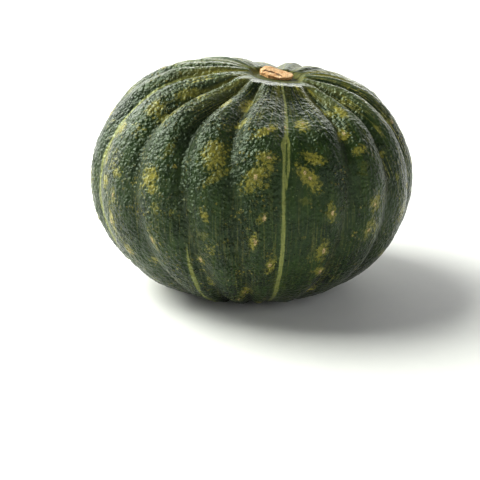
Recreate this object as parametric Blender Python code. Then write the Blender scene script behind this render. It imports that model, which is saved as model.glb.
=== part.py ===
"""Kabocha squash, whole, standing on its blossom end. Metres, +Z up, front towards -Y, origin at the middle of the bounding box's base.

Two pieces: the fruit, one grown body with eighteen ribs, a shallow stem hollow and a dimpled blossom end, and the dry corky stub of its stem, cut off short."""

import math

import bmesh
import bpy
import numpy as np
from mathutils import Matrix, Vector

# ---- driving dimensions, metres and degrees ----
HALF_WIDTH = 0.0870  # radius of the fruit at its widest, over the crests of the ribs
SEGMENTS = 126  # points round the fruit
RINGS = 40  # bands from stem to blossom end
RING_SHIFT = 0.119  # draws the bands together at the widest part
STEM_TILT = 0.13  # slope of the shoulder: its -X side is higher
STEM_SHIFT = 0.0126  # how far the stem end has grown towards +X
NOTCH = 0.0036  # depth of the saddle in the hollow's rim, behind the stem
NOTCH_WIDTH = 0.0145
FRONT_DROP = 0.0078  # how far the front shoulder falls away from the hollow's rim
FLAT_CUT = 0.0011  # depth of the flats that its own weight has pressed on the lowest lobes
SEAT_RADIUS = 0.0128  # the level seat in the hollow, round the stem stub
SEAT_GAP = 0.0003
STEM_RADIUS = 0.0088
STEM_HEIGHT = 0.0025
STEM_CUT_SLOPE = 0.11  # extra slope of the oblique cut, on top of the shoulder's

# Polar profile of the fruit, along the crests of its ribs: angle from the stem end, distance from its middle over HALF_WIDTH.
PROFILE = (
    (0, 0.626),
    (12, 0.663),
    (24, 0.726),
    (36, 0.803),
    (50, 0.890),
    (65, 0.948),
    (80, 0.987),
    (95, 0.996),
    (110, 0.973),
    (125, 0.921),
    (140, 0.853),
    (154, 0.778),
    (168, 0.686),
    (180, 0.632),
)

# The valleys between ribs: angle round the fruit from -Y towards +X, lean at the stem end, depth of the crease, width of the crease (all but the depth in degrees), and how far across the rib that follows its crest lies.
VALLEYS = (
    (-90.5, -2.0, 0.8, 4.6, 0.50),
    (-70.5, -3.5, 0.9, 4.4, 0.50),
    (-44.4, -12.0, 1.1, 4.6, 0.48),
    (-23.5, -13.0, 1.4, 4.6, 0.48),
    (-5.2, -9.5, 0.9, 4.4, 0.48),
    (9.8, 3.0, 0.3, 3.6, 0.72),
    (33.2, 11.0, 0.8, 5.2, 0.58),
    (55.3, 8.0, 1.3, 4.4, 0.56),
    (75.8, 2.0, 1.0, 4.2, 0.52),
    (92.5, 1.5, 1.1, 4.4, 0.50),
    (112.0, 0.0, 0.8, 4.8, 0.48),
    (132.5, -1.5, 1.3, 5.0, 0.50),
    (151.5, -1.0, 0.9, 4.4, 0.53),
    (171.5, 1.5, 1.2, 5.0, 0.50),
    (190.5, 2.5, 0.7, 4.6, 0.48),
    (211.0, 2.0, 1.3, 5.2, 0.50),
    (231.0, -1.0, 0.9, 4.6, 0.52),
    (250.5, -3.0, 1.2, 5.0, 0.50),
)
RIB_RISE = 0.0022  # crest above valley, broad part
CREASE = 0.0012  # further depth of a crease of depth 1


def spline(xs, ys, slope_ends=(0.0, 0.0)):
    """Second derivatives of the cubic spline through the points, with the given end slopes."""
    n = len(xs)
    h = np.diff(xs)
    a = np.zeros((n, n))
    b = np.zeros(n)
    a[0, 0], a[0, 1] = 2 * h[0], h[0]
    b[0] = 6 * ((ys[1] - ys[0]) / h[0] - slope_ends[0])
    a[-1, -1], a[-1, -2] = 2 * h[-1], h[-1]
    b[-1] = 6 * (slope_ends[1] - (ys[-1] - ys[-2]) / h[-1])
    for i in range(1, n - 1):
        a[i, i - 1], a[i, i], a[i, i + 1] = h[i - 1], 2 * (h[i - 1] + h[i]), h[i]
        b[i] = 6 * ((ys[i + 1] - ys[i]) / h[i] - (ys[i] - ys[i - 1]) / h[i - 1])
    return np.linalg.solve(a, b)


STATIONS = np.radians([p[0] for p in PROFILE])
REACH = np.array([p[1] for p in PROFILE]) * HALF_WIDTH
BEND = spline(STATIONS, REACH)


def reach(phi):
    """Distance from the fruit's middle at polar angle phi, with no ribs."""
    phi = np.clip(phi, 0, math.pi)
    i = np.clip(np.searchsorted(STATIONS, phi) - 1, 0, len(STATIONS) - 2)
    h = STATIONS[i + 1] - STATIONS[i]
    u, v = (STATIONS[i + 1] - phi) / h, (phi - STATIONS[i]) / h
    return (
        u * REACH[i]
        + v * REACH[i + 1]
        + ((u**3 - u) * BEND[i] + (v**3 - v) * BEND[i + 1]) * h * h / 6
    )


def smooth(t):
    t = np.clip(t, 0, 1)
    return t * t * (3 - 2 * t)


def rib_height(theta, phi):
    """How far the skin lies above the profile, along its normal: nothing on a crest, and less than that in a valley."""
    angles, leans, depths, widths, crests = np.array(VALLEYS).T
    deg = np.degrees(theta)
    deg = deg - np.interp(deg, angles, leans, period=360) * np.cos(phi)
    deg = (deg - angles[0]) % 360 + angles[0]
    i = np.clip(np.searchsorted(angles, deg, side="right") - 1, 0, len(angles) - 1)
    nxt = (i + 1) % len(angles)
    end = np.where(nxt == 0, angles[0] + 360, angles[nxt])
    share = np.clip((deg - angles[i]) / (end - angles[i]), 0, 1)
    broad = 0.5 - 0.5 * np.cos(2 * math.pi * share ** (math.log(0.5) / np.log(crests[i])))
    rise = 0.6 + 0.2 * (depths[i] + depths[nxt])
    crease = depths[i] * np.exp(-(((deg - angles[i]) / widths[i]) ** 2)) + depths[
        nxt
    ] * np.exp(-(((end - deg) / widths[nxt]) ** 2))
    # Ribs fade into both ends, and stand out most on the shoulder.
    r = reach(phi) * np.sin(phi) / HALF_WIDTH
    fade = (0.3 * smooth((r - 0.14) / 0.11) + 0.7 * smooth((r - 0.14) / 0.36)) * (
        0.72 + 0.36 * np.exp(-(((phi - 0.85) / 0.42) ** 2))
    )
    low = 1 - 0.45 * smooth((phi - 1.9) / 0.9)
    return -fade * low * (RIB_RISE * rise * (1 - broad) ** 1.6 + CREASE * crease)


def fruit_point(theta, phi):
    """A point of the fruit: theta round from -Y towards +X, phi down from the stem end. The middle of the fruit is at the origin here."""
    lo, hi = np.clip(phi - 1e-4, 0, math.pi), np.clip(phi + 1e-4, 0, math.pi)
    tr = reach(hi) * np.sin(hi) - reach(lo) * np.sin(lo)
    tz = reach(hi) * np.cos(hi) - reach(lo) * np.cos(lo)
    length = np.hypot(tr, tz)
    nr, nz = -tz / length, tr / length
    h = rib_height(theta, phi)
    # The fruit isn't quite round: it is a touch wider across than deep, and leans on one quarter.
    out = 1 + 0.008 * np.cos(2 * theta - math.pi) * np.sin(phi) ** 2 + 0.006 * np.sin(
        3 * theta + 0.7
    ) * np.sin(phi) ** 3
    r = reach(phi) * np.sin(phi) * out + h * nr
    z = reach(phi) * np.cos(phi) + h * nz
    x, y = r * np.sin(theta), -r * np.cos(theta)
    up = np.clip(np.cos(phi), 0, 1)
    behind = smooth(-2 * np.cos(theta)) * smooth((r - 0.010) / 0.012) * smooth((0.070 - r) / 0.028)
    z = z - NOTCH * behind * up * np.exp(-((x / NOTCH_WIDTH) ** 2))
    # In front the rim of the hollow is low and the shoulder slopes down from it at once.
    front = smooth((np.cos(theta) - 0.10) / 0.75) * smooth(4 * up)
    drop = 1 - np.exp(-((np.maximum(r - 0.012, 0) / 0.015) ** 1.7))
    z = z - FRONT_DROP * front * drop * smooth((0.088 - r) / 0.040)
    z = z - STEM_TILT * x * up
    x = x + STEM_SHIFT * up**2
    return x, y, z


def material(name, colour, roughness):
    made = bpy.data.materials.new(name)
    made.use_nodes = True
    shader = made.node_tree.nodes["Principled BSDF"]
    shader.inputs["Base Color"].default_value = (*colour, 1)
    shader.inputs["Roughness"].default_value = roughness
    shader.inputs["Metallic"].default_value = 0
    return made


def make_fruit(collection):
    """A sphere primitive, each point of it moved onto the ribbed body."""
    bm = bmesh.new()
    bmesh.ops.create_uvsphere(bm, u_segments=SEGMENTS, v_segments=RINGS, radius=1)
    co = np.array([v.co[:] for v in bm.verts])
    phi = np.arccos(np.clip(co[:, 2], -1, 1))
    phi = phi + RING_SHIFT * np.sin(2 * phi)
    theta = np.arctan2(co[:, 0], -co[:, 1])
    x, y, z = fruit_point(theta, phi)
    floor = z.min() + FLAT_CUT
    z = np.maximum(z, floor)
    for v, place in zip(bm.verts, np.stack([x, y, z], axis=1)):
        v.co = place
    # The crown inside SEAT_RADIUS is levelled to one plane, square to the stem.
    normal = Vector((STEM_TILT, 0, 1)).normalized()
    seat = Vector((STEM_SHIFT, 0, float(reach(0.0))))
    for v in bm.verts:
        if v.co.z > 0 and (v.co - seat).xy.length < SEAT_RADIUS:
            v.co.z = seat.z - normal.x * (v.co.x - seat.x) / normal.z
    bmesh.ops.recalc_face_normals(bm, faces=bm.faces)
    mesh = bpy.data.meshes.new("fruit")
    bm.to_mesh(mesh)
    bm.free()
    mesh.shade_smooth()
    obj = bpy.data.objects.new("fruit", mesh)
    obj.data.materials.append(material("green_rind", (0.030, 0.055, 0.030), 0.42))
    collection.objects.link(obj)
    return obj, seat, normal


def make_stem(collection, seat, normal):
    """A short cylinder, made uneven all round and cut off at a slant, its -X edge worn round."""
    bm = bmesh.new()
    bmesh.ops.create_cone(
        bm, cap_ends=True, cap_tris=True, segments=40, radius1=1, radius2=1, depth=1
    )
    sides = [e for e in bm.edges if abs(e.verts[0].co.z - e.verts[1].co.z) > 0.5]
    bmesh.ops.subdivide_edges(bm, edges=sides, cuts=4)
    for v in bm.verts:
        up = v.co.z + 0.5
        a = math.atan2(v.co.x, -v.co.y)
        rim = math.hypot(v.co.x, v.co.y)
        ragged = (
            1
            + 0.020 * math.cos(2 * a + 2.4)
            + 0.045 * math.cos(3 * a + 0.5)
            + 0.030 * math.cos(5 * a + 1.9)
            + 0.016 * math.cos(9 * a + 0.4)
        )
        waist = 0.955 + 0.035 * up - 0.04 * math.sin(math.pi * min(1, max(0, up)))
        r = STEM_RADIUS * ragged * waist * rim
        x, y = 1.03 * r * math.sin(a), -0.99 * r * math.cos(a)
        worn = smooth((-x - 0.0048) / 0.0042)
        top = (
            STEM_HEIGHT * (1 + 0.13 * math.cos(3 * a + 1.2) * rim)
            - STEM_CUT_SLOPE * x
            + 0.05 * y
            - 0.0013 * worn * worn
        )
        v.co = (x, y, SEAT_GAP + up * (top - SEAT_GAP))
    bmesh.ops.recalc_face_normals(bm, faces=bm.faces)
    mesh = bpy.data.meshes.new("stem")
    bm.to_mesh(mesh)
    bm.free()
    mesh.shade_smooth()
    mesh.set_sharp_from_angle(angle=math.radians(50))
    obj = bpy.data.objects.new("stem", mesh)
    obj.matrix_world = (
        Matrix.Translation(seat) @ Vector((0, 0, 1)).rotation_difference(normal).to_matrix().to_4x4()
    )
    obj.data.materials.append(material("dry_stem", (0.62, 0.36, 0.16), 0.85))
    collection.objects.link(obj)
    return obj


def main():
    for obj in list(bpy.data.objects):
        bpy.data.objects.remove(obj)
    collection = bpy.data.collections.new("kabocha_squash")
    bpy.context.scene.collection.children.link(collection)
    fruit, seat, normal = make_fruit(collection)
    stem = make_stem(collection, seat, normal)
    # Both pieces move together until the box's base is centred on the origin.
    bpy.context.view_layer.update()
    corners = [o.matrix_world @ v.co for o in (fruit, stem) for v in o.data.vertices]
    low = Vector(min(c[i] for c in corners) for i in range(3))
    high = Vector(max(c[i] for c in corners) for i in range(3))
    middle = Vector(((low.x + high.x) / 2, (low.y + high.y) / 2, low.z))
    for obj in (fruit, stem):
        obj.location = obj.location - middle
    bpy.context.view_layer.update()


main()
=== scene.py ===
import math

import bpy
import numpy as np
from mathutils import Matrix, Vector, noise


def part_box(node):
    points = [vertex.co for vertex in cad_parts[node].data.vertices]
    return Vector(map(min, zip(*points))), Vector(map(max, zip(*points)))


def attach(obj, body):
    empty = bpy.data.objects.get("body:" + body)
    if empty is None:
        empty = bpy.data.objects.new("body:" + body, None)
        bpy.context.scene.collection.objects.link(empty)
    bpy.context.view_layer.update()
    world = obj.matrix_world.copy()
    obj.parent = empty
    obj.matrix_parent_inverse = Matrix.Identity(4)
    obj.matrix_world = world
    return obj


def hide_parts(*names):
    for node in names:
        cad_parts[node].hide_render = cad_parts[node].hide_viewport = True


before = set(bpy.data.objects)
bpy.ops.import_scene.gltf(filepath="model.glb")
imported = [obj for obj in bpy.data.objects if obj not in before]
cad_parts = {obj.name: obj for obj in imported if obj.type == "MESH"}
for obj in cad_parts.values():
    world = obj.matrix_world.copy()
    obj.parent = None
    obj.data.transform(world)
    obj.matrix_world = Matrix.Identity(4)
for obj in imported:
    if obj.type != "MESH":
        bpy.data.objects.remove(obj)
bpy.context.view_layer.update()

# ---- the fruit's shape, metres and degrees, as in the CAD ----
HALF_WIDTH = 0.0870
FLAT_CUT = 0.0011
STEM_TILT = 0.13
STEM_SHIFT = 0.0126
NOTCH = 0.0032
NOTCH_WIDTH = 0.0145
FRONT_DROP = 0.0078
SEAT_RADIUS = 0.0128
STEM_RADIUS = 0.0088
STEM_HEIGHT = 0.0025
STEM_CUT_SLOPE = 0.11
RIB_RISE = 0.0022
CREASE = 0.0012

# Polar profile along the crests: angle from the stem end, distance from the middle over HALF_WIDTH.
PROFILE = (
    (0, 0.626),
    (12, 0.663),
    (24, 0.726),
    (36, 0.803),
    (50, 0.890),
    (65, 0.948),
    (80, 0.987),
    (95, 0.996),
    (110, 0.973),
    (125, 0.921),
    (140, 0.853),
    (154, 0.778),
    (168, 0.686),
    (180, 0.632),
)
# Valleys between ribs: angle from -Y towards +X, lean at the stem end, crease depth, crease width, place of the next crest.
VALLEYS = (
    (-90.5, -2.0, 0.8, 4.6, 0.50),
    (-70.5, -3.5, 0.9, 4.4, 0.50),
    (-44.4, -12.0, 1.1, 4.6, 0.48),
    (-23.5, -13.0, 1.4, 4.6, 0.48),
    (-5.2, -9.5, 0.9, 4.4, 0.48),
    (9.8, 3.0, 0.3, 3.6, 0.72),
    (33.2, 11.0, 0.8, 5.2, 0.58),
    (55.3, 8.0, 1.3, 4.4, 0.56),
    (75.8, 2.0, 1.0, 4.2, 0.52),
    (92.5, 1.5, 1.1, 4.4, 0.50),
    (112.0, 0.0, 0.8, 4.8, 0.48),
    (132.5, -1.5, 1.3, 5.0, 0.50),
    (151.5, -1.0, 0.9, 4.4, 0.53),
    (171.5, 1.5, 1.2, 5.0, 0.50),
    (190.5, 2.5, 0.7, 4.6, 0.48),
    (211.0, 2.0, 1.3, 5.2, 0.50),
    (231.0, -1.0, 0.9, 4.6, 0.52),
    (250.5, -3.0, 1.2, 5.0, 0.50),
)

# ---- markings, all in degrees round the fruit and down from the stem end ----
# Olive spots on the crests: around, down, width, height, slant (around per down), brightness.
SPOTS = (
    (-16.0, 36.0, 6.0, 10.0, 0.0, 0.95),
    (-11.0, 49.0, 5.5, 5.5, -0.3, 0.80),
    (-27.0, 40.5, 6.5, 6.0, 0.0, 0.95),
    (2.0, 54.5, 5.5, 9.0, -0.86, 0.85),
    (3.5, 67.0, 7.5, 5.0, 0.0, 0.75),
    (1.0, 74.0, 8.0, 11.0, -0.5, 0.75),
    (4.5, 77.5, 2.0, 2.0, 0.0, 0.6),
    (-15.5, 67.0, 9.0, 12.0, 0.0, 0.75),
    (-13.0, 75.0, 4.0, 7.5, -0.86, 0.6),
    (4.0, 23.5, 5.0, 5.0, 0.0, 0.3),
    (3.5, 31.0, 3.0, 4.0, 0.0, 0.2),
    (1.5, 40.0, 3.0, 4.0, 0.0, 0.2),
    (-28.0, 32.0, 4.0, 3.0, 0.0, 0.25),
    (20.0, 48.0, 7.0, 9.0, 0.0, 0.85),
    (21.5, 67.0, 7.0, 6.0, 0.8, 0.70),
    (19.0, 74.5, 6.0, 11.0, 0.55, 0.75),
    (18.0, 83.0, 4.0, 3.0, 0.0, 0.30),
    (42.5, 39.5, 3.5, 9.0, 0.4, 0.70),
    (49.0, 43.5, 5.5, 8.0, 0.0, 0.80),
    (41.0, 55.0, 5.0, 8.0, 0.0, 0.8),
    (43.5, 66.0, 6.0, 4.0, 0.0, 0.7),
    (43.0, 72.5, 4.0, 3.0, 0.0, 0.25),
    (42.0, 75.5, 4.0, 3.0, 0.0, 0.25),
    (31.0, 22.0, 4.0, 5.0, 0.0, 0.95),
    (46.5, 25.0, 2.6, 7.0, 0.0, 0.6),
    (52.0, 25.0, 2.5, 4.0, 0.0, 0.5),
    (63.0, 39.0, 2.0, 4.0, 0.0, 0.55),
    (64.5, 42.0, 1.6, 11.0, -0.14, 0.55),
    (63.0, 61.0, 1.6, 8.0, 0.0, 0.55),
    (59.0, 70.5, 3.0, 3.0, 0.0, 0.6),
    (62.0, 82.0, 2.0, 3.0, 0.0, 0.50),
    (-44.5, 41.0, 3.0, 5.0, 0.0, 1.0),
    (-34.0, 68.0, 2.5, 7.0, 0.0, 0.4),
    (-38.0, 78.5, 6.5, 7.0, 0.0, 0.85),
    (-36.0, 82.0, 4.0, 4.0, 0.0, 0.80),
    (-28.0, 88.5, 1.6, 1.6, 0.0, 0.60),
    (-66.0, 68.0, 8.0, 6.0, 0.0, 1.1),
    (-66.0, 79.0, 4.0, 4.0, 0.0, 1.00),
    (-65.5, 75.0, 3.0, 3.0, 0.0, 0.8),
    (-62.0, 85.0, 4.0, 5.0, 0.0, 1.00),
    (-55.0, 81.0, 5.0, 3.0, 0.0, 0.70),
    (-61.0, 35.0, 1.8, 10.0, 0.0, 0.8),
    (-64.0, 35.0, 1.8, 9.0, 0.0, 0.8),
    (-54.5, 39.0, 2.0, 8.0, 0.0, 0.5),
    (-50.5, 55.0, 4.0, 5.0, 0.0, 0.5),
    (-56.5, 55.0, 6.0, 7.0, 0.0, 0.75),
    (-45.5, 54.0, 4.5, 12.0, 0.0, 0.70),
    (-55.5, 42.0, 5.0, 9.0, 0.0, 0.70),
)
# Patches of loose flecks: around, down, width, height, brightness.
FLECKS = (
    (-19.5, 50.5, 7.0, 7.0, 0.5),
    (-57.5, 52.5, 9.0, 9.0, 0.8),
    (-53.5, 56.5, 9.0, 9.0, 0.7),
    (-54.5, 64.5, 9.0, 9.0, 0.7),
    (-58.0, 78.0, 12.0, 14.0, 0.7),
    (-40.0, 82.0, 14.0, 10.0, 0.6),
)
# Tan cork scars: around, down, width, height.
CORKS = (
    (11.5, 39.0, 1.5, 1.6),
    (11.0, 49.5, 1.4, 1.8),
    (3.0, 53.5, 1.0, 1.6),
    (4.5, 67.0, 2.2, 1.2),
    (0.5, 74.5, 1.2, 2.2),
    (20.5, 47.0, 1.4, 1.8),
    (18.0, 72.5, 1.2, 1.8),
    (19.5, 75.0, 1.2, 1.4),
    (41.5, 55.0, 1.2, 3.0),
    (31.0, 22.0, 2.0, 2.4),
    (-16.0, 33.5, 0.8, 1.6),
)
# Yellow-green stripes: points (around, down, half-width) along each, paleness.
STRIPES = (
    (((11.2, 15.0, 1.0), (11.2, 18.5, 1.9), (11.6, 23, 1.9), (12.4, 31.5, 1.5), (12, 41, 1.35), (11.5, 54, 1.25), (10.5, 59.5, 0.9), (10.5, 69, 0.8), (10.3, 78, 0.9), (10.4, 86, 0.8), (10.3, 104, 1), (10.2, 140, 1.2)), 0.55),
    (((11.5, 54, 0.5), (12.5, 59.5, 0.8), (12, 71.5, 0.7), (11.2, 78, 0.5)), 0.35),
    (((10, 57, 0.5), (9.5, 61, 0.9), (10, 64.5, 0.4)), 0.35),
    (((-75, 26, 0.8), (-75, 30, 1.1), (-74.5, 39.5, 0.9), (-73, 54.5, 0.9), (-72, 62, 1.0), (-71.5, 68, 1.7), (-71.5, 73, 0.9), (-71.6, 79, 1.4), (-71.4, 86, 0.9), (-71, 100, 1.5), (-71, 140, 1.6)), 0.85),
)


def spline(xs, ys):
    """Second derivatives of the cubic spline through the points, level at both ends."""
    n = len(xs)
    h = np.diff(xs)
    a = np.zeros((n, n))
    b = np.zeros(n)
    a[0, 0], a[0, 1] = 2 * h[0], h[0]
    b[0] = 6 * (ys[1] - ys[0]) / h[0]
    a[-1, -1], a[-1, -2] = 2 * h[-1], h[-1]
    b[-1] = -6 * (ys[-1] - ys[-2]) / h[-1]
    for i in range(1, n - 1):
        a[i, i - 1], a[i, i], a[i, i + 1] = h[i - 1], 2 * (h[i - 1] + h[i]), h[i]
        b[i] = 6 * ((ys[i + 1] - ys[i]) / h[i] - (ys[i] - ys[i - 1]) / h[i - 1])
    return np.linalg.solve(a, b)


STATIONS = np.radians([p[0] for p in PROFILE])
REACH = np.array([p[1] for p in PROFILE]) * HALF_WIDTH
BEND = spline(STATIONS, REACH)


def reach(phi):
    """Distance from the fruit's middle at polar angle phi, with no ribs."""
    phi = np.clip(phi, 0, math.pi)
    i = np.clip(np.searchsorted(STATIONS, phi) - 1, 0, len(STATIONS) - 2)
    h = STATIONS[i + 1] - STATIONS[i]
    u, v = (STATIONS[i + 1] - phi) / h, (phi - STATIONS[i]) / h
    return (
        u * REACH[i]
        + v * REACH[i + 1]
        + ((u**3 - u) * BEND[i] + (v**3 - v) * BEND[i + 1]) * h * h / 6
    )


def smooth(t):
    t = np.clip(t, 0, 1)
    return t * t * (3 - 2 * t)


def ribs(theta, phi):
    """Height of the skin against the profile, how far up its rib each point is (0 in a valley, 1 on a crest), how deep in a crease, and how near the fold at its bottom."""
    angles, leans, depths, widths, crests = np.array(VALLEYS).T
    deg = np.degrees(theta)
    deg = deg - np.interp(deg, angles, leans, period=360) * np.cos(phi)
    deg = (deg - angles[0]) % 360 + angles[0]
    i = np.clip(np.searchsorted(angles, deg, side="right") - 1, 0, len(angles) - 1)
    nxt = (i + 1) % len(angles)
    end = np.where(nxt == 0, angles[0] + 360, angles[nxt])
    share = np.clip((deg - angles[i]) / (end - angles[i]), 0, 1)
    broad = 0.5 - 0.5 * np.cos(2 * math.pi * share ** (math.log(0.5) / np.log(crests[i])))
    rise = 0.6 + 0.2 * (depths[i] + depths[nxt])
    crease = depths[i] * np.exp(-(((deg - angles[i]) / widths[i]) ** 2)) + depths[
        nxt
    ] * np.exp(-(((end - deg) / widths[nxt]) ** 2))
    r = reach(phi) * np.sin(phi) / HALF_WIDTH
    fade = (0.3 * smooth((r - 0.14) / 0.11) + 0.7 * smooth((r - 0.14) / 0.36)) * (0.72 + 0.36 * np.exp(-(((phi - 0.85) / 0.42) ** 2)))
    low = 1 - 0.45 * smooth((phi - 1.9) / 0.9)
    fold = fade * low * np.maximum(
        depths[i] * np.exp(-(((deg - angles[i]) / 1.7) ** 2)),
        depths[nxt] * np.exp(-(((end - deg) / 1.7) ** 2)),
    )
    return -fade * low * (RIB_RISE * rise * (1 - broad) ** 1.6 + CREASE * crease), broad, crease, fold


def fruit_point(theta, phi):
    """A point of the fruit, its middle at the origin."""
    lo, hi = np.clip(phi - 1e-4, 0, math.pi), np.clip(phi + 1e-4, 0, math.pi)
    tr = reach(hi) * np.sin(hi) - reach(lo) * np.sin(lo)
    tz = reach(hi) * np.cos(hi) - reach(lo) * np.cos(lo)
    length = np.hypot(tr, tz)
    nr, nz = -tz / length, tr / length
    h = ribs(theta, phi)[0]
    flat_r = reach(phi) * np.sin(phi)
    calm = smooth(-2 * np.cos(theta)) * smooth((0.075 - flat_r) / 0.03) * (phi < 1.6)
    h = h * (1 - 0.60 * calm * np.exp(-((flat_r * np.sin(theta) / 0.030) ** 2)))
    out = 1 + 0.008 * np.cos(2 * theta - math.pi) * np.sin(phi) ** 2 + 0.006 * np.sin(
        3 * theta + 0.7
    ) * np.sin(phi) ** 3
    r = reach(phi) * np.sin(phi) * out + h * nr
    z = reach(phi) * np.cos(phi) + h * nz
    x, y = r * np.sin(theta), -r * np.cos(theta)
    up = np.clip(np.cos(phi), 0, 1)
    behind = smooth(-2 * np.cos(theta)) * smooth((r - 0.010) / 0.012) * smooth((0.070 - r) / 0.028)
    z = z - NOTCH * behind * up * np.exp(-((x / NOTCH_WIDTH) ** 2))
    front = smooth((np.cos(theta) - 0.10) / 0.75) * smooth(4 * up)
    drop = 1 - np.exp(-((np.maximum(r - 0.0160, 0) / 0.0125) ** 1.8))
    z = z - FRONT_DROP * front * drop * smooth((0.088 - r) / 0.040)
    z = z - STEM_TILT * x * up
    x = x + STEM_SHIFT * up**2
    return np.stack([x, y, z], axis=-1)


def place():
    """The move from the shape's own frame to the CAD's: middle of the box's base at the origin."""
    around, down = np.meshgrid(
        np.linspace(-math.pi, math.pi, 721), np.linspace(0, math.pi, 361), indexing="ij"
    )
    p = fruit_point(around.ravel(), down.ravel())
    low, high = p.min(axis=0), p.max(axis=0)
    box_low, box_high = (np.array(c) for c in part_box("fruit"))
    middle = (low + high) / 2 - (box_low + box_high) / 2
    return np.array([middle[0], middle[1], low[2] + FLAT_CUT - box_low[2]])


MOVE = place()
SEAT = np.array([STEM_SHIFT, 0, float(reach(0.0))]) - MOVE
SEAT_NORMAL = np.array([STEM_TILT, 0, 1]) / math.hypot(STEM_TILT, 1)


# ---- noise on points ----
def grain(points, size, seed, octaves=1):
    """Smooth noise, about -1 to 1, with lumps of the given size."""
    off = Vector((seed * 17.31, seed * -7.77, seed * 3.19))
    out = np.zeros(len(points))
    gain, total = 1.0, 0.0
    for _ in range(octaves):
        out += gain * np.array(
            [noise.noise(Vector(p) + off, noise_basis="PERLIN_NEW") for p in (points / size).tolist()]
        )
        total += gain
        gain *= 0.5
        size = size / 2
    return out / total * 1.6


def cells(points, size, seed):
    """Distance to the nearest of the scattered middles, in cell sizes, and to the next one."""
    off = Vector((seed * 5.31, seed * 9.7, seed * -4.19))
    got = [noise.voronoi(Vector(p) + off)[0] for p in (points / size).tolist()]
    return np.array([g[0] for g in got]), np.array([g[1] for g in got])


# ---- meshes ----
def sphere_net(n):
    """Directions and quads of a sphere of six square patches, n quads along each side."""
    i, j = np.meshgrid(np.arange(n + 1), np.arange(n + 1), indexing="ij")
    corners, quads = [], []
    base = 0
    for axis in range(3):
        for side in (0, n):
            cell = np.zeros((n + 1, n + 1, 3), int)
            cell[..., axis] = side
            cell[..., (axis + 1) % 3] = i
            cell[..., (axis + 2) % 3] = j
            corners.append(cell.reshape(-1, 3))
            number = base + np.arange((n + 1) ** 2).reshape(n + 1, n + 1)
            quad = np.stack(
                [number[:-1, :-1], number[1:, :-1], number[1:, 1:], number[:-1, 1:]], -1
            ).reshape(-1, 4)
            quads.append(quad if side else quad[:, ::-1])
            base += (n + 1) ** 2
    corners, number = np.unique(np.concatenate(corners), axis=0, return_inverse=True)
    quads = number.reshape(-1)[np.concatenate(quads)]
    d = np.tan((corners / n * 2 - 1) * math.pi / 4)
    return d / np.linalg.norm(d, axis=1, keepdims=True), quads


def gather(d, towards, k):
    """Draws the directions together about one of them, so that the quads there are smaller."""
    c = np.array(towards) / np.linalg.norm(towards)
    t = d @ c
    side = d - t[:, None] * c
    side = side / np.maximum(np.linalg.norm(side, axis=1, keepdims=True), 1e-12)
    t = ((k * k + 1) * t + (k * k - 1)) / ((k * k - 1) * t + (k * k + 1))
    return t[:, None] * c + np.sqrt(np.clip(1 - t * t, 0, 1))[:, None] * side


def normals_of(points, quads):
    a, b, c, d = (points[quads[:, i]] for i in range(4))
    face = np.cross(c - a, d - b)
    out = np.zeros_like(points)
    for i in range(4):
        np.add.at(out, quads[:, i], face)
    return out / np.linalg.norm(out, axis=1, keepdims=True)


def make_mesh(name, points, faces):
    mesh = bpy.data.meshes.new(name)
    mesh.from_pydata(points.tolist(), [], faces if isinstance(faces, list) else faces.tolist())
    mesh.validate()
    mesh.shade_smooth()
    obj = bpy.data.objects.new(name, mesh)
    bpy.context.scene.collection.objects.link(obj)
    return obj


def store(obj, name, values):
    if values.ndim == 1:
        made = obj.data.attributes.new(name, "FLOAT", "POINT")
        made.data.foreach_set("value", values.astype(np.float32))
    else:
        made = obj.data.attributes.new(name, "FLOAT_VECTOR", "POINT")
        made.data.foreach_set("vector", values.astype(np.float32).ravel())


# ---- markings as fields over the skin ----
def turn(a, b):
    """a - b in degrees, in -180 to 180."""
    return (a - b + 180) % 360 - 180


def wild_marks():
    """Spots, flecks and stripes for the sides that carry no placed ones: on the crests, long along the rib; stripes in the valleys."""
    rng = np.random.default_rng(71)
    spots, flecks, corks, stripes = [], [], [], []
    angles = [v[0] for v in VALLEYS] + [VALLEYS[0][0] + 360]
    for i in range(len(VALLEYS)):
        crest = angles[i] + (angles[i + 1] - angles[i]) * VALLEYS[i][4]
        shown = -82 < turn(crest, 0) < 72
        down = 88 if shown else rng.uniform(30, 42)
        while down < 150:
            w, h = rng.uniform(2.2, 5.5), rng.uniform(3.0, 8.5)
            mark = (
                crest + rng.normal(0, 2.6),
                down,
                w,
                h,
                rng.normal(0, 0.25),
                rng.uniform(0.35, 1.0),
            )
            spots.append(mark)
            if rng.random() < 0.45:
                corks.append((mark[0] + rng.normal(0, 0.4), down + rng.normal(0, 0.6), 1.2, rng.uniform(1.2, 2.8)))
            if rng.random() < 0.35:
                flecks.append((crest + rng.normal(0, 3), down + rng.normal(0, 4), 9, 10, rng.uniform(0.4, 0.8)))
            down += h / 2 + rng.uniform(5, 15)
        striped = rng.random()
        if abs(turn(angles[i], 10.2)) < 1 or abs(turn(angles[i], -70.8)) < 1:
            continue
        shown = -85 < turn(angles[i], 0) < 80
        if striped < (0.25 if shown else 0.45):
            start = rng.uniform(92, 108) if shown else rng.uniform(24, 60)
            line = []
            for down in np.arange(start, 158, 9):
                ends = smooth(min(down - start, 158 - down) / 14 + 0.25)
                line.append((angles[i] + rng.normal(0, 0.45), down, float(ends) * rng.uniform(0.7, 1.7)))
            stripes.append((tuple(line), rng.uniform(0.2, 0.8)))
    return spots, flecks, corks, stripes


def oval(theta, phi, at, down, w, h, slant=0.0):
    """1 in the middle of the oval, 0 on its edge, falling on outside."""
    dp = phi - down
    dt = turn(theta, at) - slant * dp
    return 1 - np.sqrt((dt / (w / 2)) ** 2 + (dp / (h / 2)) ** 2)


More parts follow.
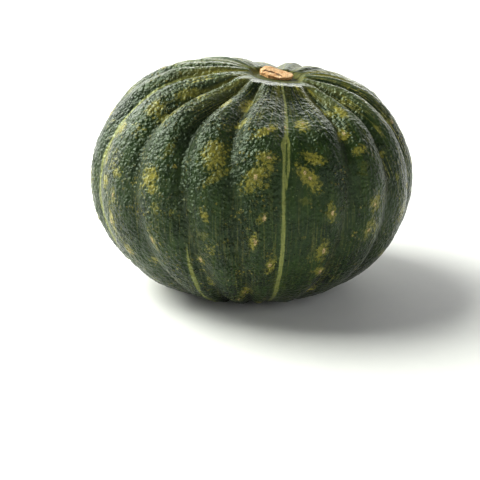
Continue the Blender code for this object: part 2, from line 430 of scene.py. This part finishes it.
def marking_fields(theta, phi):
    deg, down = np.degrees(theta), np.degrees(phi)
    spots, flecks, corks, stripes = wild_marks()
    spot = np.full(len(theta), -1.5)
    tone = np.zeros(len(theta))
    for at, dn, w, h, slant, bright in list(SPOTS) + spots:
        f = oval(deg, down, at, dn, w, h, slant)
        tone = np.where(f > spot, bright, tone)
        spot = np.maximum(spot, f)
    fleck = np.full(len(theta), -1.5)
    for at, dn, w, h, bright in list(FLECKS) + flecks:
        fleck = np.maximum(fleck, oval(deg, down, at, dn, w, h) * bright)
    cork = np.full(len(theta), -2.5)
    for at, dn, w, h in list(CORKS) + corks:
        cork = np.maximum(cork, oval(deg, down, at, dn, w, h))
    stripe = np.full(len(theta), -3.0)
    pale = np.zeros(len(theta))
    for line, paleness in list(STRIPES) + stripes:
        t, p, w = np.array(line).T
        middle, half = np.interp(down, p, t), np.interp(down, p, w)
        out = np.maximum(p[0] - down, 0) + np.maximum(down - p[-1], 0)
        f = 1 - np.abs(turn(deg, middle)) / (0.62 * half) - out * 0.5
        pale = np.where(f > stripe, paleness, pale)
        stripe = np.maximum(stripe, f)
    return np.maximum(spot, -1.5), tone, fleck, cork, np.maximum(stripe, -3.0), pale


# ---- the skin ----
def make_skin():
    d, quads = sphere_net(126)
    d = gather(d, (-0.25, -0.85, 0.5), 1.28)
    phi = np.arccos(np.clip(d[:, 2], -1, 1))
    theta = np.arctan2(d[:, 0], -d[:, 1])
    p = fruit_point(theta, phi) - MOVE
    n = normals_of(p, quads)
    _, broad, crease, fold = ribs(theta, phi)
    deg, down = np.degrees(theta), np.degrees(phi)
    from_seat = np.linalg.norm(p - SEAT, axis=1)
    blossom = fruit_point(np.zeros(1), np.full(1, math.pi))[0] - MOVE
    from_blossom = np.linalg.norm(p - blossom, axis=1)

    spot, tone, fleck, cork, stripe, pale = marking_fields(theta, phi)

    # Where the skin is pebbled: the whole -X front strongly, the rest less.
    left = smooth((turn(deg, 8) + 0) / -14) * smooth((turn(deg, 8) + 150) / 60)
    right = smooth(turn(deg, 8) / 10) * smooth((110 - turn(deg, 8)) / 40)
    weight = 0.60 + 0.36 * left - 0.16 * right
    patch = grain(p, 0.016, 3, 2)
    weight = weight * np.clip(0.90 + 0.45 * patch, 0.30, 1.3)
    weight = weight * (0.45 + 0.55 * smooth(broad / 0.30))
    behind = smooth((np.abs(turn(deg, -20)) - 80) / 40) * smooth((75 - down) / 30)
    weight = weight * (1 - 0.75 * behind)
    front = smooth((70 - np.abs(turn(deg, 12))) / 40) * smooth((66 - down) / 26)
    weight = weight * (1 - 0.55 * front)
    weight = weight * (0.35 * smooth((from_seat - 0.014) / 0.011) + 0.65 * smooth((from_seat - 0.020) / 0.028)) * smooth((from_blossom - 0.012) / 0.02)

    f1, f2 = cells(p, 0.0022, 1)
    dome = np.clip(1 - (f1 / 0.62) ** 2, 0, 1)
    wart = (cells(p, 0.0070, 2)[0] < 0.16).astype(float)
    near = smooth(1 - (from_seat - 0.012) / 0.042)
    shoulder = smooth((from_seat - 0.014) / 0.012) * smooth((62 - down) / 26)
    side = smooth((turn(deg, 44)) / 16) * smooth((118 - turn(deg, 0)) / 30) * smooth((100 - down) / 30)
    lined = np.maximum(np.maximum(0.55 * shoulder, side), 0.22 * smooth((down - 70) / 30))
    # Fine wrinkles run down the ribs, strongest near the stem.
    stretched = np.stack([np.sin(theta) * 13, -np.cos(theta) * 13, phi * 1.6], axis=-1)
    wrinkle = grain(stretched, 1.0, 9, 2)
    # Broader pleats on the sides and back of the crown.
    pleat = grain(stretched * np.array([0.62, 0.62, 0.45]), 1.0, 14)
    pleated = smooth((np.abs(turn(deg, 4)) - 34) / 24) * (1 - 0.6 * smooth((np.abs(turn(deg, 4)) - 120) / 30)) * smooth((from_seat - 0.0108) / 0.006) * smooth(1 - (from_seat - 0.030) / 0.034)
    h = (
        0.00036 * grain(p, 0.021, 4)
        + 0.00028 * grain(p, 0.0082, 5, 2)
        + 0.00042 * weight * (dome - 0.45)
        + 0.00014 * weight * wart
        + 0.00070 * pleat * pleated
        + wrinkle * (0.00006 + 0.00042 * near * (1 - 0.5 * pleated)) * smooth((from_seat - 0.012) / 0.005)
        - 0.00075 * fold * smooth((from_seat - 0.016) / 0.035) * smooth((from_blossom - 0.015) / 0.03)
    )
    # Cork stands a little proud.
    h = h + 0.00022 * smooth((cork + 0.3) / 0.5)
    # The blossom scar: a low rough disc with a ring round it.
    h = h + 0.0005 * np.exp(-(((from_blossom - 0.0052) / 0.0011) ** 2)) - 0.0004 * smooth(
        1 - from_blossom / 0.0045
    )
    h = h * smooth((from_seat - 0.0105) / 0.004)
    p = p + n * h[:, None]

    # The crown under the stem is level; round it the rind dips and rises to its first lumps.
    flat = SEAT[2] - SEAT_NORMAL[0] * (p[:, 0] - SEAT[0]) / SEAT_NORMAL[2]
    away = np.hypot(p[:, 0] - SEAT[0], p[:, 1] - SEAT[1])
    ahead = smooth(1.25 * (SEAT[1] - p[:, 1]) / np.maximum(away, 1e-6))
    uneven = grain(np.stack([np.sin(theta), -np.cos(theta), 0 * theta], -1) * 3.4, 1.0, 16, 2)
    level = smooth((SEAT_RADIUS + 0.0024 + (0.0022 + 0.0016 * uneven) * ahead - away) / 0.0036) * (p[:, 2] > 0.05)
    # In front the rise is lost, so that the level ground ends in a lip.
    over = np.maximum(p[:, 2] - flat, 0) * (p[:, 2] > 0.05)
    p[:, 2] -= (0.86 + 0.12 * uneven) * ahead * smooth((0.036 - away) / 0.014) * over
    p[:, 2] = p[:, 2] * (1 - level) + flat * level
    beside = smooth((np.abs(turn(deg, 4)) - 50) / 30) * smooth((away - 0.0098) / 0.003) * smooth((0.024 - away) / 0.008)
    p[:, 2] += 0.00065 * np.clip(grain(stretched * np.array([0.8, 0.8, 0.3]), 1.0, 15), -1, 1) * beside * (p[:, 2] > 0.05)
    moat = smooth((away - 0.0080) / 0.0022) * smooth((0.0150 + 0.0014 * ahead - away) / 0.0030) * (p[:, 2] > 0.05)
    p[:, 2] -= 0.0009 * moat * (1 - 0.85 * ahead)
    p[:, 2] = np.maximum(p[:, 2], 0.0)

    obj = make_mesh("rind", p, quads)
    store(obj, "around", np.stack([np.sin(theta), -np.cos(theta), phi], axis=-1))
    for name, values in (
        ("pebbly", weight),
        ("lined", lined),
        ("crest", broad),
        ("crease", crease),
        ("fold", fold),
        ("spot", spot),
        ("tone", tone),
        ("fleck", fleck),
        ("cork", cork),
        (
            "groove",
            np.maximum(
                np.maximum(smooth(-1.3 * wrinkle - 0.10) * smooth(1 - (from_seat - 0.012) / 0.052), smooth(-1.6 * pleat - 0.30) * pleated),
                0.60 * smooth(fold * 1.4 - 0.15) * smooth(1 - (from_seat - 0.016) / 0.040),
            ),
        ),
        # painted sheen on the crests round the crown's sides
        ("crest_sheen", smooth((np.abs(turn(deg, 4)) - 30) / 26) * smooth((0.072 - from_seat) / 0.032) * smooth((broad - 0.15) / 0.5)),
        ("rear", smooth(-1.4 * np.cos(theta)) * smooth((0.056 - from_seat) / 0.02)),
        ("stripe", stripe),
        ("pale", pale),
        ("from_seat", from_seat * 1000),
        ("from_blossom", from_blossom * 1000),
    ):
        store(obj, name, values)
    return obj


# ---- the stem stub ----
def stub_outline(a):
    return (
        1
        + 0.020 * np.cos(2 * a + 2.4)
        + 0.036 * np.sin(2 * a)
        + 0.045 * np.cos(3 * a + 0.5)
        + 0.026 * np.cos(5 * a + 1.9)
        + 0.016 * np.cos(9 * a + 0.4)
    )


def make_stub():
    """The dry stub: furrowed sides that spread at the foot, and an uneven slanting cut with a torn ledge on its -X front."""
    around, side, top = 192, 22, 34
    a = np.linspace(0, 2 * math.pi, around, endpoint=False)
    rows, kinds = [], []
    # Sides, foot to rim.
    for k in range(side + 1):
        up = k / side
        furrow = 0.022 * np.cos(14 * a + 1.3 + 0.5 * up) + 0.014 * np.cos(23 * a + 0.2 - 0.8 * up)
        waist = 0.94 + 0.05 * up - 0.04 * math.sin(math.pi * up)
        foot = 0.015 * math.exp(-((up / 0.16) ** 2))
        edge = -0.040 * smooth((up - 0.84) / 0.16) ** 2
        r = STEM_RADIUS * (stub_outline(a) * (waist + foot) + furrow * (0.5 + 0.5 * up) + edge)
        rows.append((r, np.full(around, up)))
        kinds.append(np.full(around, 0.0))
    rim = rows[-1][0]
    for k in range(1, top):
        rows.append((rim * (1 - k / top), np.full(around, 1.0)))
        kinds.append(np.full(around, k / top))
    r = np.stack([row[0] for row in rows])
    up = np.stack([row[1] for row in rows])
    inward = np.stack(kinds)
    x, y = 1.03 * r * np.sin(a), -0.99 * r * np.cos(a)
    rel = r / (STEM_RADIUS * stub_outline(a) * 0.95)
    cut = STEM_HEIGHT * (1 + 0.08 * np.cos(3 * a + 1.2) * np.clip(rel, 0, 1)) - STEM_CUT_SLOPE * x + 0.05 * y
    # A tear runs across the front: in front of it a lower ledge of bark.
    q = np.stack([x, y, np.zeros_like(x)], -1).reshape(-1, 3)
    jag = grain(q, 0.0035, 21, 2).reshape(x.shape)
    tear = y + 0.0028 + 0.46 * x + 12 * (x + 0.001) ** 2 + 0.0013 * jag
    ledge = smooth(-tear / 0.0008) * smooth((0.0050 - x) / 0.004)
    # Towards -X the edge is worn round.
    worn = smooth((-x - 0.0048) / 0.0042)
    lump = grain(q, 0.0030, 22, 3).reshape(x.shape)
    fine = grain(q, 0.0011, 23, 2).reshape(x.shape)
    inside = smooth(inward / 0.10)
    cut = cut + inside * (0.00030 * lump + 0.00016 * fine)
    cut = cut - 0.0010 * ledge * (1 + 0.55 * lump) - 0.0013 * worn * worn
    cut = cut - 0.0008 * np.exp(-((tear / 0.00040) ** 2)) * smooth((0.0036 - x) / 0.003) * smooth((x + 0.0072) / 0.002) * inside
    cut = np.maximum(cut, 0.0006)
    rough = grain(np.stack([np.sin(a) * 9 + 0 * x, np.cos(a) * 9 + 0 * x, up * 3], -1).reshape(-1, 3), 1.0, 24, 2).reshape(x.shape)
    z = -0.0008 + up * (cut + 0.0008)
    swell = 1 + 0.022 * rough * np.where(inward > 0, 0, np.sin(np.pi * np.clip(up, 0, 1)) * 0.7 + 0.3)
    x, y = x * swell, y * swell
    points = np.stack([x, y, z], -1).reshape(-1, 3)
    points = np.concatenate([points, [[0, 0, float(z[-1].mean())], [0, 0, -0.0008]]])
    faces = []
    count = len(rows)
    for k in range(count - 1):
        for i in range(around):
            j = (i + 1) % around
            faces.append((k * around + i, k * around + j, (k + 1) * around + j, (k + 1) * around + i))
    tip, base = count * around, count * around + 1
    for i in range(around):
        j = (i + 1) % around
        faces.append(((count - 1) * around + i, (count - 1) * around + j, tip))
        faces.append((j, i, base))
    turn_to = Vector((0, 0, 1)).rotation_difference(Vector(SEAT_NORMAL)).to_matrix()
    world = points @ np.array(turn_to).T + SEAT
    obj = make_mesh("stem_stub", world, faces)
    obj.data.set_sharp_from_angle(angle=math.radians(55))
    store(obj, "on_cut", np.concatenate([inward.ravel(), [1, 0]]))
    store(obj, "up", np.concatenate([up.ravel(), [1, 0]]))
    store(obj, "tear", np.concatenate([(tear + 0.0016 * smooth((x - 0.0016) / 0.002) + 0.0016 * smooth((-0.0056 - x) / 0.002)).ravel() * 1000, [4, 4]]))
    store(obj, "own", points * 1000)
    return obj


# ---- material helpers ----
class Paint:
    def __init__(self, name):
        self.material = bpy.data.materials.new(name)
        self.material.use_nodes = True
        self.tree = self.material.node_tree
        self.shader = self.tree.nodes["Principled BSDF"]

    def put(self, socket, value):
        if isinstance(value, bpy.types.NodeSocket):
            self.tree.links.new(value, socket)
        elif isinstance(value, tuple) and len(value) == 3 and socket.type == "RGBA":
            socket.default_value = (*value, 1)
        else:
            socket.default_value = value

    def node(self, kind, inputs=(), **settings):
        made = self.tree.nodes.new(kind)
        for key, value in settings.items():
            setattr(made, key, value)
        for key, value in dict(inputs).items():
            self.put(made.inputs[key], value)
        return made

    def math(self, op, a, b=0.0, c=0.0, clamp=False):
        return self.node(
            "ShaderNodeMath", {0: a, 1: b, 2: c}, operation=op, use_clamp=clamp
        ).outputs[0]

    def add(self, *values):
        out = values[0]
        for v in values[1:]:
            out = self.math("ADD", out, v)
        return out

    def times(self, a, b):
        return self.math("MULTIPLY", a, b)

    def step(self, value, low, high, to_low=0.0, to_high=1.0):
        return self.node(
            "ShaderNodeMapRange",
            {"Value": value, "From Min": low, "From Max": high, "To Min": to_low, "To Max": to_high},
            interpolation_type="SMOOTHSTEP",
        ).outputs["Result"]

    def mix(self, share, a, b, blend="MIX"):
        made = self.node("ShaderNodeMix", data_type="RGBA", blend_type=blend)
        self.put(made.inputs[0], share)
        self.put(made.inputs[6], a)
        self.put(made.inputs[7], b)
        return made.outputs[2]

    def attr(self, name, vector=False):
        made = self.node("ShaderNodeAttribute", attribute_name=name)
        return made.outputs["Vector" if vector else "Fac"]

    def spots(self, vector, scale, detail=2.0, rough=0.5, distort=0.0):
        return self.node(
            "ShaderNodeTexNoise",
            {"Vector": vector, "Scale": scale, "Detail": detail, "Roughness": rough, "Distortion": distort},
        ).outputs["Fac"]

    def stretch(self, vector, scale, move=(0, 0, 0)):
        return self.node(
            "ShaderNodeMapping", {"Vector": vector, "Scale": scale, "Location": move}
        ).outputs["Vector"]

    def cell(self, vector, scale, feature="F1", out="Distance", smoothness=None, randomness=1.0):
        made = self.node("ShaderNodeTexVoronoi", {"Vector": vector, "Scale": scale, "Randomness": randomness}, feature=feature)
        return made.outputs[out]

    def bump(self, height, distance, strength=1.0, normal=None):
        made = self.node("ShaderNodeBump", {"Height": height, "Distance": distance, "Strength": strength})
        if normal is not None:
            self.put(made.inputs["Normal"], normal)
        return made.outputs["Normal"]


def srgb(r, g, b):
    def one(v):
        v = v / 255
        return v / 12.92 if v <= 0.04045 else ((v + 0.055) / 1.055) ** 2.4

    return (one(r), one(g), one(b))


def rind_material():
    m = Paint("rind_skin")
    here = m.node("ShaderNodeTexCoord").outputs["Object"]
    around = m.attr("around", vector=True)
    pebbly, crest, crease = m.attr("pebbly"), m.attr("crest"), m.attr("crease")
    broad_noise = m.spots(here, 55, 4, 0.55)
    fine = m.spots(here, 620, 3, 0.6)
    finest = m.spots(here, 1700, 2, 0.6)
    streak = m.spots(m.stretch(around, (64, 64, 7)), 1.0, 3, 0.6)
    long_streak = m.spots(m.stretch(around, (26, 26, 2.4), (3.1, 1.7, 0)), 1.0, 3, 0.55)

    # Dark green, uneven: blacker patches, greyer crests, fine streaks down the ribs.
    green = m.mix(m.step(broad_noise, 0.36, 0.64), srgb(18, 32, 12), srgb(35, 52, 19))
    green = m.mix(m.step(streak, 0.48, 0.72, 0, 0.42), green, srgb(62, 76, 32))
    green = m.mix(m.step(long_streak, 0.56, 0.40, 0, 0.5), green, srgb(20, 31, 18))
    # Darker green out to about 62 mm from the stem, all round the crown, and darker again over its rear.
    green = m.mix(m.times(m.step(m.attr("from_seat"), 62.0, 26.0), 0.75), green, srgb(14, 24, 9))
    green = m.mix(m.times(m.attr("rear"), 0.5), green, srgb(14, 24, 9))
    # Painted shade: darker green down the creases and along the folds at the bottoms of the valleys.
    green = m.mix(m.times(m.step(crease, 0.25, 0.9), 0.35), green, srgb(25, 33, 17))
    green = m.mix(m.times(m.step(m.attr("fold"), 0.15, 0.9), 0.40), green, srgb(18, 25, 14))
    # Painted sheen: pale grey-green on the crests round the crown's sides, kept off the rear of the crown.
    green = m.mix(m.times(m.times(m.attr("crest_sheen"), m.math("SUBTRACT", 1.0, m.times(m.attr("rear"), 0.75))), m.step(streak, 0.35, 0.65, 0.20, 0.48)), green, srgb(108, 122, 88))
    # Pale pin-pricks all over.
    prick = m.cell(here, 520)
    dots = m.times(m.step(prick, 0.26, 0.14), m.step(fine, 0.46, 0.60))
    green = m.mix(m.times(dots, 0.42), green, srgb(112, 124, 78))

    # Partly straw flecks and partly painted glints: in patches, many of the little bumps on the pebbled skin get
    # straw-coloured tops.
    straw_glint_tops = m.times(m.step(m.cell(here, 430), 0.42, 0.16), m.times(m.step(m.spots(here, 95, 3, 0.6), 0.47, 0.62), m.step(finest, 0.42, 0.58)))
    green = m.mix(m.times(m.times(straw_glint_tops, m.step(pebbly, 0.12, 0.55)), 0.80), green, srgb(148, 136, 62))

    # Loose flecks.
    ragged = m.add(m.times(m.math("SUBTRACT", fine, 0.5), 2.6), m.times(m.math("SUBTRACT", finest, 0.5), 1.2))
    fleck = m.step(m.add(m.attr("fleck"), m.times(ragged, 1.3), -0.62), -0.12, 0.22)
    green = m.mix(m.times(fleck, 0.75), green, srgb(138, 132, 62))

    # Olive spots.
    tone = m.attr("tone")
    spot = m.add(m.attr("spot"), m.times(ragged, 0.80))
    inside = m.step(spot, -0.25, 0.45)
    halo = m.step(spot, -0.75, 0.05)
    olive = m.mix(m.step(m.add(tone, m.times(m.math("SUBTRACT", finest, 0.5), 0.9)), 0.15, 1.1), srgb(78, 82, 28), srgb(144, 136, 56))
    green = m.mix(m.times(halo, m.times(tone, 0.30)), green, srgb(58, 70, 32))
    holes = m.step(fine, 0.40, 0.56, 0.35, 1.0)
    green = m.mix(m.times(m.times(inside, holes), m.step(tone, 0.0, 0.8, 0.35, 0.95)), green, olive)

    # Stripes in the valleys.
    pale = m.attr("pale")
    strand = m.spots(m.stretch(around, (120, 120, 7), (0, 5, 1)), 1.0, 2, 0.55)
    stripe = m.add(m.attr("stripe"), m.times(ragged, 0.28), m.times(m.math("SUBTRACT", strand, 0.5), 1.1))
    line = m.step(stripe, -0.30, 0.25)
    yellow = m.mix(pale, srgb(128, 130, 60), srgb(160, 158, 92))
    yellow = m.mix(m.step(strand, 0.42, 0.66), m.mix(0.45, yellow, srgb(84, 98, 50)), yellow)
    green = m.mix(m.times(line, 0.90), green, yellow)
    green = m.mix(m.times(m.step(stripe, -1.3, 0.0), 0.22), green, srgb(86, 104, 56))

    # Cork.
    cork = m.step(m.add(m.attr("cork"), m.times(ragged, 0.65)), -0.15, 0.35)
    tan = m.mix(m.step(finest, 0.4, 0.62), srgb(150, 124, 78), srgb(206, 182, 138))
    green = m.mix(m.times(cork, 0.92), green, tan)

    # Thin straw-coloured lines down the ribs of one side and over the shoulders.
    lines = m.spots(m.stretch(around, (95, 95, 3.2), (7, 2, 0)), 1.0, 3, 0.62)
    green = m.mix(
        m.times(m.times(m.step(lines, 0.545, 0.63), m.attr("lined")), m.step(fine, 0.38, 0.56, 0.35, 0.85)),
        green,
        srgb(150, 146, 76),
    )

    # Olive ring round the stem, with thin pale lines running out of it between the ribs.
    seat = m.attr("from_seat")
    wavy = m.add(seat, m.times(m.math("SUBTRACT", long_streak, 0.5), 9.0))
    ring = m.step(wavy, 16.5, 11.5)
    green = m.mix(m.times(ring, 0.8), green, m.mix(m.step(streak, 0.40, 0.62), srgb(68, 70, 28), srgb(110, 106, 48)))
    green = m.mix(m.times(m.attr("groove"), 0.75), green, srgb(120, 116, 50))
    # Painted shadow: a dark olive-brown band on the rind right round the stub's foot.
    foot = m.step(m.add(seat, m.times(m.math("SUBTRACT", fine, 0.5), 3.0)), 13.6, 10.2)
    green = m.mix(m.times(foot, 0.75), green, srgb(46, 44, 16))

    # The blossom scar.
    flower = m.add(m.attr("from_blossom"), m.times(m.math("SUBTRACT", fine, 0.5), 3.0))
    scar = m.step(flower, 6.6, 5.4)
    grey = m.mix(m.step(finest, 0.38, 0.62), srgb(84, 70, 52), srgb(140, 122, 96))
    green = m.mix(m.times(m.step(flower, 13.0, 6.0), 0.55), green, srgb(104, 104, 58))
    green = m.mix(scar, green, grey)
    m.put(m.shader.inputs["Base Color"], green)

    # Waxy, duller where it is corky or worn.
    dull = m.add(
        m.step(broad_noise, 0.35, 0.65, 0.26, 0.35),
        m.times(m.math("SUBTRACT", fine, 0.5), 0.20),
        m.times(cork, 0.25),
        m.times(scar, 0.35),
        m.times(m.step(wavy, 18.8, 14.6), 0.55),
        m.times(m.times(m.step(seat, 24.0, 18.0), m.step(streak, 0.40, 0.62)), 0.22),
        m.times(m.step(seat, 58.0, 30.0), -0.05),
        m.times(m.attr("rear"), 0.22),
    )
    m.put(m.shader.inputs["Roughness"], dull)
    m.shader.inputs["Metallic"].default_value = 0
    m.shader.inputs["IOR"].default_value = 1.48
    m.shader.inputs["Specular IOR Level"].default_value = 0.29
    m.shader.inputs["Specular Tint"].default_value = (0.75, 1.0, 0.67, 1)
    m.shader.inputs["Coat Weight"].default_value = 0.03
    m.shader.inputs["Coat Roughness"].default_value = 0.16

    # Pebbles, pores and hair-fine wrinkles too small for the mesh.
    swapped = m.node("ShaderNodeVectorMath", {0: m.node("ShaderNodeTexNoise", {"Vector": here, "Scale": 300.0, "Detail": 1.0}).outputs["Color"], 1: (0.0014, 0.0014, 0.0014), 2: here}, operation="MULTIPLY_ADD").outputs[0]
    stones = m.cell(swapped, 430)
    small = m.cell(swapped, 900)
    lumps = m.times(
        m.add(
            m.step(stones, 0.70, 0.08, 0, 1),
            m.times(m.step(small, 0.70, 0.10), 0.35),
        ),
        m.add(0.22, m.times(pebbly, 0.9)),
    )
    wrinkles = m.spots(m.stretch(around, (150, 150, 16)), 1.0, 3, 0.6)
    normal = m.bump(lumps, 0.00085, 1.0)
    normal = m.bump(wrinkles, 0.00013, 0.5, normal)
    normal = m.bump(finest, 0.00007, 0.5, normal)
    m.put(m.shader.inputs["Normal"], normal)
    return m.material


def stub_material():
    m = Paint("stem_cork")
    own = m.attr("own", vector=True)
    cut, up, tear = m.attr("on_cut"), m.attr("up"), m.attr("tear")
    blot = m.spots(own, 0.45, 4, 0.6)
    fine = m.spots(own, 2.2, 3, 0.65)
    pith = m.cell(own, 1.5)
    fibre = m.spots(m.stretch(own, (3.2, 3.2, 0.35)), 1.0, 3, 0.6)
    bark = m.mix(m.step(fibre, 0.36, 0.64), srgb(150, 96, 48), srgb(226, 176, 116))
    # Painted shade: the bark darkens towards the stub's foot, where it meets the rind.
    bark = m.mix(m.times(m.step(up, 0.35, 0.0), 0.75), bark, srgb(110, 92, 44))
    face = m.mix(m.step(blot, 0.36, 0.62), srgb(212, 156, 98), srgb(252, 220, 170))
    face = m.mix(m.times(m.step(fine, 0.60, 0.40), 0.75), face, srgb(158, 98, 46))
    face = m.mix(m.times(m.step(pith, 0.26, 0.10), 0.35), face, srgb(140, 88, 46))
    colour = m.mix(m.step(cut, 0.0, 0.06), bark, face)
    # The tear across the cut is dark brown: partly the cork's darker inside, partly painted shade in the crack.
    crack = m.times(m.step(m.math("ABSOLUTE", m.math("SUBTRACT", tear, 0.12)), 0.72, 0.16), m.step(blot, 0.30, 0.55, 0.45, 1.0))
    colour = m.mix(m.times(m.times(crack, m.step(cut, 0.0, 0.05)), 0.85), colour, srgb(72, 38, 14))
    m.put(m.shader.inputs["Base Color"], colour)
    m.put(m.shader.inputs["Roughness"], m.step(fine, 0.3, 0.7, 0.72, 0.92))
    m.shader.inputs["Metallic"].default_value = 0
    normal = m.bump(fibre, 0.0004, 0.6)
    normal = m.bump(fine, 0.0003, 0.7, normal)
    m.put(m.shader.inputs["Normal"], normal)
    return m.material


def floor_material():
    m = Paint("studio_floor")
    here = m.node("ShaderNodeTexCoord").outputs["Object"]
    paper = m.spots(here, 90, 3, 0.6)
    m.put(m.shader.inputs["Base Color"], m.mix(paper, (0.86, 0.86, 0.87), (0.90, 0.90, 0.90)))
    m.shader.inputs["Roughness"].default_value = 0.9
    m.shader.inputs["Specular IOR Level"].default_value = 0.1
    return m.material


# ---- pieces ----
skin = make_skin()
skin.data.materials.append(rind_material())
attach(skin, "root")
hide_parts("fruit")

stub = make_stub()
stub.data.materials.append(stub_material())
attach(stub, "root")
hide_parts("stem")

# ---- stage, light and camera ----
sides = 64
ring = [(1.3 * math.sin(2 * math.pi * i / sides), -1.3 * math.cos(2 * math.pi * i / sides), -0.0004) for i in range(sides)]
floor = make_mesh("floor", np.array(ring), [tuple(range(sides))])
floor.data.materials.append(floor_material())

scene = bpy.context.scene
scene.view_settings.view_transform = "Standard"
scene.view_settings.look = "None"

world = bpy.data.worlds.new("studio")
scene.world = world
world.use_nodes = True
tree = world.node_tree
tree.nodes.clear()
sky = tree.nodes.new("ShaderNodeBackground")
white = tree.nodes.new("ShaderNodeBackground")
white.inputs["Color"].default_value = (1, 1, 1, 1)
white.inputs["Strength"].default_value = 1.0
coord = tree.nodes.new("ShaderNodeTexCoord")
split = tree.nodes.new("ShaderNodeSeparateXYZ")
tree.links.new(coord.outputs["Generated"], split.inputs["Vector"])
up = tree.nodes.new("ShaderNodeMapRange")
up.interpolation_type = "SMOOTHSTEP"
for key, value in (("From Min", 0.30), ("From Max", 0.85), ("To Min", 0.42), ("To Max", 1.8)):
    up.inputs[key].default_value = value
tree.links.new(split.outputs["Y"], up.inputs["Value"])
low = tree.nodes.new("ShaderNodeMapRange")
low.interpolation_type = "SMOOTHSTEP"
for key, value in (("From Min", 0.32), ("From Max", 0.66), ("To Min", 1.0), ("To Max", 0.13)):
    low.inputs[key].default_value = value
tree.links.new(split.outputs["Z"], low.inputs["Value"])
both = tree.nodes.new("ShaderNodeMath")
both.operation = "MULTIPLY"
tree.links.new(up.outputs["Result"], both.inputs[0])
tree.links.new(low.outputs["Result"], both.inputs[1])
sky.inputs["Color"].default_value = (1.0, 1.0, 0.97, 1)
tree.links.new(both.outputs["Value"], sky.inputs["Strength"])
path = tree.nodes.new("ShaderNodeLightPath")
pick = tree.nodes.new("ShaderNodeMixShader")
tree.links.new(path.outputs["Is Camera Ray"], pick.inputs["Fac"])
tree.links.new(sky.outputs["Background"], pick.inputs[1])
tree.links.new(white.outputs["Background"], pick.inputs[2])
out = tree.nodes.new("ShaderNodeOutputWorld")
tree.links.new(pick.outputs["Shader"], out.inputs["Surface"])


def area(name, where, to, size, power, colour):
    light = bpy.data.lights.new(name, "AREA")
    light.shape = "RECTANGLE"
    light.size, light.size_y = size
    light.energy = power
    light.color = colour
    obj = bpy.data.objects.new(name, light)
    obj.location = where
    obj.rotation_euler = (Vector(to) - Vector(where)).to_track_quat("-Z", "Y").to_euler()
    scene.collection.objects.link(obj)
    return obj


area("key", (-0.92, 0.34, 1.05), (0, 0, 0.06), (1.25, 1.15), 50, (0.97, 1.0, 0.91))
area("back", (-0.25, 1.90, 0.75), (0, 0, 0.08), (2.6, 0.5), 17, (0.98, 1.0, 0.95))

area("rim", (-1.6, 1.3, 0.80), (0, 0, 0.08), (1.2, 0.7), 11, (0.98, 1.0, 0.94))

area("fill", (1.30, -1.15, 0.95), (0, 0, 0.04), (1.5, 1.1), 6, (0.97, 0.99, 1.0))

M = Vector((0.0002, 0.0003, 0.0596))
tilt = math.radians(16)
forward = Vector((0, math.cos(tilt), -math.sin(tilt)))
across = Vector((1, 0, 0))
upward = across.cross(forward)
DISTANCE = 0.70
PIXEL = DISTANCE / 1280
eye = M - forward * DISTANCE
aim = M - across * 12 * PIXEL - upward * 65 * PIXEL
camera = bpy.data.objects.new("camera", bpy.data.cameras.new("camera"))
camera.data.sensor_width = 36
camera.data.lens = 96
camera.data.dof.use_dof = False
camera.location = eye
camera.rotation_euler = (aim - eye).to_track_quat("-Z", "Y").to_euler()
scene.collection.objects.link(camera)
scene.camera = camera
bpy.context.view_layer.update()
